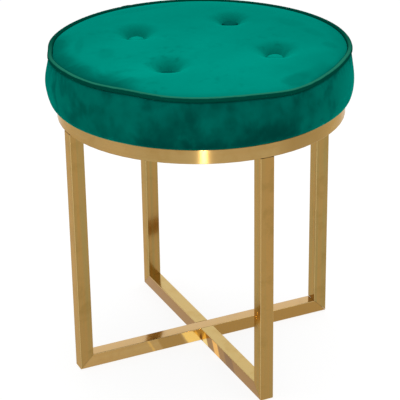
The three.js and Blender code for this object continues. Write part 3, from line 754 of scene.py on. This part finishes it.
def makePiping():
    steps, across, ring = pipingCord["stepsRound"], pipingCord["stepsAcross"], pipingCord["radius"]
    slope = radians(pipingCord["flangeAngle"])
    thick = pipingCord["flangeThickness"] / 2
    half = asin(thick / pipingCord["cordRadius"])
    joint = radians(pipingCord["jointAngle"])
    outward, down = -cos(slope), -sin(slope)
    start, end = pipingCord["flangeStart"], pipingCord["flangeEnd"]
    rows = []
    for step in range(steps):
        turn = step / steps * fullTurn
        off = remainder(turn - joint, fullTurn) * ring / pipingCord["jointHalfLength"]
        grown = pipingCord["jointLift"] * exp(-off ** 4)
        grown -= pipingCord["slipDepth"] * exp(-((abs(off) - 1.15) * 4) ** 2)
        loose = pipingCord["puckerDepth"] * (0.55 + noise((*polar(5, turn), 0.4)))
        section = []
        for index in range(across):
            share = index / (across - 1)
            angle = pi + slope + half + share * (fullTurn - 2 * half)
            phase = turn * ring / pipingCord["puckerPitch"] * fullTurn + pipingCord["puckerSlant"] * angle
            held = sin(share * pi) ** 0.5
            lift = loose * held * sin(phase + 2.2 * noise((turn * 13, 0, 0)))
            section.append(polar(pipingCord["cordRadius"] + lift + grown * held, angle))
        for length, side in ((start, -thick), (end, -thick), (end, thick), (start, thick)):
            section.append((outward * length - down * side, down * length + outward * side))
        rows.append([leaned((*polar(ring + r, turn), pipingCord["height"] + z)) for r, z in section])
    cord = meshObject("seat_piping", *skinned(rows, True), (pipingVelvet,))
    facesOutwards(cord)
    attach(cord, "root")
    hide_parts("piping")


def facesOutwards(obj):
    mesh = bmesh.new()
    mesh.from_mesh(obj.data)
    bmesh.ops.recalc_face_normals(mesh, faces=mesh.faces)
    mesh.to_mesh(obj.data)
    mesh.free()
    obj.data.update()


makePiping()
print("piping sewn on")


# Covered buttons, drawn down by twine that is knotted under the board

button = dict(
    radius=0.011, height=0.0056, seats=(0.4418, 0.4378, 0.4358, 0.4373), backRadius=0.0056,
    socketRadius=0.0014, socketDepth=0.002,
    around=56, pleats=17, pleatDepth=0.00028, padding=0.00012,
    darkCopyButtons=(1, 3),  # buttons that get the darker copy of the button velvet
)


def makeButton(number, x, y):
    tall, wide, seat = button["height"], button["radius"], button["seats"][number - 1]
    socket, deep = button["socketRadius"], button["socketDepth"]
    profile = [(socket, deep), (socket, 0), (button["backRadius"], 0), (wide * 0.8, tall * 0.14),
               (wide * 0.95, tall * 0.28), (wide, tall * 0.4)]
    for step in range(1, 12):
        lift = step / 12 * pi / 2
        profile.append((wide * cos(lift) ** 0.62, tall * (0.42 + 0.58 * sin(lift) ** 1.15)))
    rows = []
    for row, (radius, height) in enumerate(profile):
        section = []
        for i in range(button["around"]):
            turn = i / button["around"] * fullTurn
            gathered = button["pleatDepth"] * cos(turn * button["pleats"] + number) if 2 <= row <= 6 else 0
            dent = button["padding"] * noise((*polar(radius * 300, turn), number)) if row > 6 else 0
            px, py = polar(radius + gathered, turn)
            section.append((x + px, y + py, seat + height + dent))
        rows.append(section)
    # painted light: buttons get the lighter velvet, those in darkCopyButtons the darker copy
    material = darkButtonVelvet if number in button["darkCopyButtons"] else buttonVelvet
    skin = skinned(rows, poles=((x, y, seat + deep), (x, y, seat + tall)))
    obj = meshObject(f"covered_button_{number}", *skin, (material,))
    facesOutwards(obj)
    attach(obj, "root")
    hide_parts(f"button_{number}")


twine = dict(
    strandRadius=0.00045, strandOffset=0.00044, turnLength=0.0042, overSeat=0.0017,
    bottom=0.3752, knotTop=0.3755, knotHeight=0.0028, knotReach=0.00275, knotStrand=0.00062,
    colour=(0.62, 0.58, 0.48),
)


def twineMaterial():
    look = Look("waxedTwine", scaled(twine["colour"], 0.6), Roughness=0.6, Specular_IOR_Level=0.35)
    fibre = look.noise((2600, 2600, 500), 2)
    look.paint(twine["colour"], fibre, 0.3, 0.7)
    return look.done(look.bump(fibre, 0.00006))


# Round strand along a line of points, closed at its ends or joined into a loop
def strandMesh(line, radius, sides, loop=False):
    line = [Vector(p) for p in line]
    count = len(line)
    rows, normal = [], None
    for index, point in enumerate(line):
        after = line[(index + 1) % count] if loop else line[min(index + 1, count - 1)]
        before = line[index - 1] if loop else line[max(index - 1, 0)]
        along = (after - before).normalized()
        if normal is None:
            normal = along.orthogonal().normalized()
        normal = (normal - along * normal.dot(along)).normalized()
        side = along.cross(normal)
        turns = [i / sides * fullTurn for i in range(sides)]
        rows.append([point + (normal * cos(turn) + side * sin(turn)) * radius for turn in turns])
    return skinned(rows, loop)


def makeTie(number, x, y, material):
    steps, bottom, top = 150, twine["bottom"], button["seats"][number - 1] + twine["overSeat"]
    strands = []
    for strand in (0, 1):
        line = []
        for step in range(steps + 1):
            height = bottom + (top - bottom) * step / steps
            px, py = polar(twine["strandOffset"], (height / twine["turnLength"] + strand / 2) * fullTurn)
            line.append((x + px, y + py, height))
        strands.append(strandMesh(line, twine["strandRadius"], 7))
    knot, thick, half = [], twine["knotStrand"], twine["knotHeight"] / 2
    size = (twine["knotReach"] - thick) / 3
    for step in range(64):
        t = step / 64 * fullTurn
        knot.append((x + size * (sin(t) + 2 * sin(2 * t)), y + size * (cos(t) - 2 * cos(2 * t)),
                     twine["knotTop"] - half - (half - thick) * sin(3 * t)))
    strands.append(strandMesh(knot, thick, 8, True))
    points, faces = [], []
    for newPoints, newFaces in strands:
        faces += [tuple(i + len(points) for i in face) for face in newFaces]
        points += newPoints
    obj = meshObject(f"twisted_tie_{number}", points, faces, (material,))
    facesOutwards(obj)
    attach(obj, "root")
    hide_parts(f"button_tie_{number}")


waxedTwine = twineMaterial()
for number, (x, y) in enumerate(buttonPlaces, 1):
    makeButton(number, x, y)
    makeTie(number, x, y, waxedTwine)
print("buttons tied down")


# Dust cloth under the seat, pulled over the knots and stapled at its edge

dustCloth = dict(
    radius=0.1684, top=0.3755, thickness=0.0004, sag=0.0031, slackRadius=0.1141,
    flatRadius=0.1403, cells=72, wrinkleHeight=0.0005, wrinkleStart=0.06, tieReach=0.009, staples=12,
    screwCircle=0.1604, screwHole=0.0031, screwAngles=(45, 135, 225, 315),
    colour=(0.012, 0.012, 0.013), fibreColour=(0.03, 0.03, 0.032),
)


def dustClothMaterial():
    look = Look("nonWovenCloth", dustCloth["colour"], Roughness=0.9, Specular_IOR_Level=0.25)
    fibre = look.noise(900, 3, 0.7, 1.2)
    bonds = look.cells(620, 0.25)
    look.paint(dustCloth["fibreColour"], fibre, 0.35, 0.7)
    look.paint(dustCloth["colour"], bonds, 0.12, 0.3, 0.7, 0)
    # creases that run out to the staples
    fanned = look.combined(look.times(look.turn(), 5), look.times(look.outward(), 16))
    creases = look.bump(look.noise(1, 3, 0.5, 0.6, fanned), 0.006)
    fibres = look.bump(fibre, 0.0001, Normal=creases)
    return look.done(look.bump(look.fromTo(bonds, 0.1, 0.35), 0.00012, Normal=fibres))


def dustHeight(x, y):
    outward, turn = hypot(x, y), atan2(y, x)
    flat = dustCloth["flatRadius"]
    share = clamped((flat - outward) / (flat - dustCloth["slackRadius"]))
    pull = cos(turn * dustCloth["staples"] + 0.6 * sin(turn * 3))
    start = dustCloth["wrinkleStart"]
    middle = sin(clamped((outward - start) / (flat - start)) * pi)
    wave = dustCloth["wrinkleHeight"] * (pull * middle + 1.4 * share * noise((x * 22, y * 22, 9)))
    free = clamped((nearestButton(x, y) - dustCloth["tieReach"]) / 0.02)
    return dustCloth["top"] - dustCloth["sag"] * eased(share) - abs(wave) * free * min(share * 4, 1)


def makeDustCloth():
    points, faces, rim = discGrid(dustCloth["radius"], dustCloth["cells"], dustHeight)
    cloth = meshObject("stretched_dust_cloth", points, faces, (dustClothMaterial(),))
    thickened(cloth, dustCloth["thickness"])
    for degrees in dustCloth["screwAngles"]:
        punchHole(cloth, *polar(dustCloth["screwCircle"], radians(degrees)), dustCloth["screwHole"])
    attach(cloth, "root")
    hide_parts("dust_cover")


def punchHole(obj, x, y, radius):
    circle = [polar(radius, i / 20 * fullTurn) for i in range(20)]
    rows = [[(x + px, y + py, dustCloth["top"] + level) for px, py in circle] for level in (-0.003, 0.003)]
    punch = meshObject("punch", *skinned(rows), smooth=False)
    hole = obj.modifiers.new("screwHole", "BOOLEAN")
    hole.operation, hole.object, hole.solver = "DIFFERENCE", punch, "EXACT"
    applyModifiers(obj)
    bpy.data.objects.remove(punch)


makeDustCloth()
print("dust cloth stretched under the seat")


# Brass tube

railFinish = dict(
    edgeTint=(0.97, 0.87, 0.78), roughness=0.13, anisotropy=0.6, grainDepth=0.000012,
    lacquerRoughness=0.08, tintFade=0.004,
)
brass = dict(
    # for each length of tube: its colour, a deeper one in the grain and a warmer one in clouds
    leg=dict(
        colours=((0.31, 0.216, 0.062), (0.385, 0.21, 0.05), (0.362, 0.21, 0.057)),
        edgeTint=(0.92, 0.72, 0.46), roughness=0.17, anisotropy=0.75, grainDepth=0.00002,
        lacquer=0.3, lacquerRoughness=0.08, tintFade=0.016,
    ),
    rail=dict(
        railFinish, colours=((0.446, 0.272, 0.069), (0.42, 0.24, 0.052), (0.466, 0.262, 0.061)),
        lacquer=1, tintSlant=0.5,
    ),
    halfRail=dict(
        railFinish, colours=((0.47, 0.345, 0.12), (0.448, 0.312, 0.1), (0.485, 0.335, 0.112)),
        lacquer=0.3, tintSlant=-0.5,
    ),
    ring=dict(
        colours=((0.425, 0.28, 0.09), (0.365, 0.222, 0.06), (0.425, 0.245, 0.072)),
        edgeTint=(0.86, 0.66, 0.38), roughness=0.24, anisotropy=0.98, grainDepth=0.00003,
        lacquer=0.45, lacquerRoughness=0.15,
    ),
    roughnessSpread=0.05, grainAcross=950, grainAlong=9,
    # blotches where the plating is darker: share of the colour that is left, how much of it shows
    blotchTint=(0.82, 0.7, 0.45), blotchScale=42, blotchShare=0.45,
    cornerHighlightColour=(0.7, 0.5, 0.22), cornerHighlightShare=0.8,  # painted highlight along the corners of the tube
    railMiddle=0.0125, ringWrap=0.19,
    # painted reflections: warm and dark patches on single faces, placed where the tubes mirror each other;
    # the half rails' side faces are also painted darker all along, painted shade:
    # the way the face looks, middle and half length along the tube, colour, share
    longRailPaintedReflections=(
        ("Y", -1, 0.105, 0.095, (0.335, 0.168, 0.012), 1),
        ("Y", -1, -0.057, 0.018, (0.34, 0.178, 0.018), 0.95),
        ("Y", -1, -0.0887, 0.0014, (0.7, 0.39, 0.06), 0.8),
        ("Y", -1, -0.0255, 0.0105, (0.9, 0.56, 0.115), 1),
    ),
    halfRailPaintedShadeAndReflections=(
        ("X", -1, 0, 1, (0.314, 0.152, 0.02), 1),
        ("X", 1, 0, 1, (0.314, 0.152, 0.02), 1),
        ("X", -1, -0.1, 0.013, (0.19, 0.08, 0.01), 0.8),
        ("X", -1, -0.0385, 0.006, (0.29, 0.14, 0.01), 0.9),
        ("X", -1, -0.058, 0.0085, (0.9, 0.47, 0.08), 1),
        ("X", -1, -0.019, 0.0085, (0.95, 0.7, 0.22), 0.95),
    ),
    frontLegPaintedReflection=(("X", -1, 0.124, 0.002, (0.6, 0.34, 0.07), 0.75),),
    ringPaintedShade=(-71, 17, (0.3, 0.17, 0.036), 0.75),  # painted shade on one stretch of the ring: degrees round, reach, colour, share
)


def brassMaterial(name, kind, grain, paintedPatches=()):
    # grain is the way the tube was brushed: "X", "Y", "Z", or "round" for the ring
    tube, isRound = brass[kind], grain == "round"
    colour, deepColour, warmColour = tube["colours"]
    look = Look(name, deepColour, Metallic=1, Specular_Tint=tube["edgeTint"],
                Anisotropic=tube["anisotropy"], Anisotropic_Rotation=0 if isRound else 0.25,
                Coat_Weight=tube["lacquer"], Coat_Roughness=tube["lacquerRoughness"])
    axis = [float(way == grain or way == "Z" and isRound) for way in "XYZ"]
    look.put(look.combined(*axis), look.shader.inputs["Tangent"])
    if isRound:
        turn, parts = look.turn(), look.axes(look.place)
        look.place = look.combined(look.times(turn, brass["ringWrap"]), parts["Z"], parts["X"])
        axis = (1, 0, 1)
    scale = [brass["grainAlong"] if a else brass["grainAcross"] for a in axis]
    fine = look.noise(scale, 2, 0.6)
    wide = look.noise(scaled(scale, 0.16), 3, 0.6)
    look.paint(colour, wide, 0.3, 0.7)
    look.paint(warmColour, look.noise(14, 2), 0.35, 0.7, 0, 0.5)
    blotch = look.noise(brass["blotchScale"], 4, 0.62, 0.4)
    darker = [c * left for c, left in zip(colour, brass["blotchTint"])]
    look.paint(darker, blotch, 0.48, 0.72, 0, brass["blotchShare"])
    spread = brass["roughnessSpread"] / 2
    rough = look.fromTo(wide, 0.25, 0.75, tube["roughness"] - spread, tube["roughness"] + spread)
    if isRound:
        # painted shade on one stretch of the ring
        degrees, reach, shadeTone, most = brass["ringPaintedShade"]
        near = look.times(wide, 0.02, look.nearTurn(turn, degrees))
        look.paint(shadeTone, near, cos(radians(reach)) + 0.01, 1.01, 0, most)
    else:
        corner = paintFaces(look, tube, grain, paintedPatches)
        rough = look.times(corner, 0.35, rough)
    return look.done(look.bump(fine, tube["grainDepth"]), rough)


def paintFaces(look, tube, grain, paintedPatches):
    normal, parts = look.normal(), look.axes(look.place)
    looks = look.axes(normal)
    fray = look.noise(130, 3, 0.6)
    slanted = parts[grain]
    if grain != "Z":
        fromMiddle = look.math("SUBTRACT", parts["Z"], brass["railMiddle"])
        slanted = look.times(fromMiddle, tube["tintSlant"], slanted)
    # painted reflections and painted shade on single faces
    for way, sign, middle, half, tint, most in paintedPatches:
        turned = look.fromTo(look.times(looks[way], sign), 0.7, 0.95)
        off = look.math("ABSOLUTE", look.math("SUBTRACT", slanted, middle))
        band = look.fromTo(look.times(fray, 0.004, off), half, half + tube["tintFade"], most, 0)
        look.paint(tint, look.times(turned, band))
    # painted highlight along the corners of the tube
    sides = look.axes(look.vector("ABSOLUTE", normal))
    flattest = look.math("MAXIMUM", sides["X"], look.math("MAXIMUM", sides["Y"], sides["Z"]))
    corner = look.fromTo(flattest, 0.8, 0.985, brass["cornerHighlightShare"], 0)
    look.paint(brass["cornerHighlightColour"], corner)
    return corner


# Round faces of a solid read as round: corners under the angle are shaded smoothly
def roundedShading(smoothUnder=50):
    group = bpy.data.node_groups.new("roundedShading", "GeometryNodeTree")
    for way in ("INPUT", "OUTPUT"):
        group.interface.new_socket("Geometry", in_out=way, socket_type="NodeSocketGeometry")
    names = ("NodeGroupInput", "GeometryNodeRemoveAttribute", "GeometryNodeMergeByDistance",
             "GeometryNodeSetShadeSmooth", "GeometryNodeSetShadeSmooth", "NodeGroupOutput")
    chain = [group.nodes.new(name) for name in names]
    for first, second in zip(chain, chain[1:]):
        group.links.new(first.outputs[0], second.inputs[0])
    bare, merged, faces, edges = chain[1:5]
    bare.inputs["Name"].default_value = "custom_normal"
    merged.inputs["Distance"].default_value = 0.00001
    edges.domain = "EDGE"
    angle = group.nodes.new("GeometryNodeInputMeshEdgeAngle")
    soft = group.nodes.new("FunctionNodeCompare")
    soft.operation = "LESS_THAN"
    soft.inputs[1].default_value = radians(smoothUnder)
    group.links.new(angle.outputs["Unsigned Angle"], soft.inputs[0])
    group.links.new(soft.outputs[0], edges.inputs["Shade Smooth"])
    return group


smoothing = roundedShading()


def finishSolids(material, *names):
    for name in names:
        solid = solids[name]
        solid.data.materials.clear()
        solid.data.materials.append(material)
        solid.modifiers.new("roundedShading", "NODES").node_group = smoothing
        weighted = solid.modifiers.new("flatFacesFirst", "WEIGHTED_NORMAL")
        weighted.keep_sharp = True
        weighted.mode = "FACE_AREA_WITH_ANGLE"
        weighted.weight = 80


finishSolids(brassMaterial("legBrass", "leg", "Z"), "leg_right", "leg_rear", "leg_left")
finishSolids(brassMaterial("frontLegBrass", "leg", "Z", brass["frontLegPaintedReflection"]), "leg_front")
finishSolids(brassMaterial("longRailBrass", "rail", "X", brass["longRailPaintedReflections"]), "floor_rail_long")
finishSolids(brassMaterial("halfRailBrass", "halfRail", "Y", brass["halfRailPaintedShadeAndReflections"]),
             "floor_rail_rear", "floor_rail_front")
finishSolids(brassMaterial("ringBrass", "ring", "round"), "top_ring", *numbered("seat_tab", 4))
print("frame finished in brushed brass")


# Board, fasteners and glides: nodes that keep their solids and get their finish here

fittings = dict(
    zinc=(0.5, 0.51, 0.52), zincDull=(0.33, 0.34, 0.36), zincRoughness=0.38,
    plywood=(0.56, 0.38, 0.2), plywoodDark=(0.36, 0.22, 0.1), plyCount=9,
    boardBottom=0.3765, boardThickness=0.012,
    plastic=(0.016, 0.016, 0.018),
)


def zincMaterial():
    look = Look("zincPlate", fittings["zincDull"], Metallic=1)
    rough = fittings["zincRoughness"]
    spangle = look.add("RGBToBW", {0: look.cells(900, output="Color")}).outputs[0]
    look.paint(fittings["zinc"], spangle, 0.1, 0.9)
    worn = look.noise(260, 3)
    return look.done(look.bump(worn, 0.00004), look.fromTo(worn, 0.3, 0.7, rough - 0.1, rough + 0.14))


def plywoodMaterial():
    light, dark = fittings["plywood"], fittings["plywoodDark"]
    look = Look("rawPlywood", dark, Roughness=0.75, Specular_IOR_Level=0.3)
    grain = look.noise((9, 160, 60), 4, 0.6, 0.4)
    look.paint(light, grain, 0.3, 0.7)
    look.paint(dark, look.noise((2.5, 22, 8), 2, 0.5, 1.5), 0.45, 0.6, 0, 0.4)
    ply = look.math("SUBTRACT", look.axes(look.place)["Z"], fittings["boardBottom"])
    ply = look.times(ply, fittings["plyCount"] / fittings["boardThickness"] / 2)
    layer = look.math("GREATER_THAN", look.math("FRACT", ply), 0.5)
    upright = look.math("ABSOLUTE", look.axes(look.normal())["Z"])
    look.paint(look.blend(layer, light, dark), upright, 0.4, 0.6, 1, 0)
    return look.done(look.bump(grain, 0.00012))


def plasticMaterial():
    look = Look("blackPlastic", fittings["plastic"])
    scuffs = look.noise((60, 60, 400), 4, 0.7)
    look.paint(scaled(fittings["plastic"], 2.6), scuffs, 0.55, 0.75, 0, 0.6)
    grained = look.bump(look.noise(1400, 2, 0.6), 0.00005)
    return look.done(grained, look.fromTo(scuffs, 0.3, 0.7, 0.42, 0.62))


fasteners = ("seat_screw", "screw_washer", "t_nut", "tie_washer")
finishSolids(zincMaterial(), *(name for kind in fasteners for name in numbered(kind, 4)),
             *numbered("staple", 12))
finishSolids(plywoodMaterial(), "seat_board")
finishSolids(plasticMaterial(), *("floor_glide_" + side for side in ("right", "rear", "left", "front")))
print("board, fasteners and glides finished")
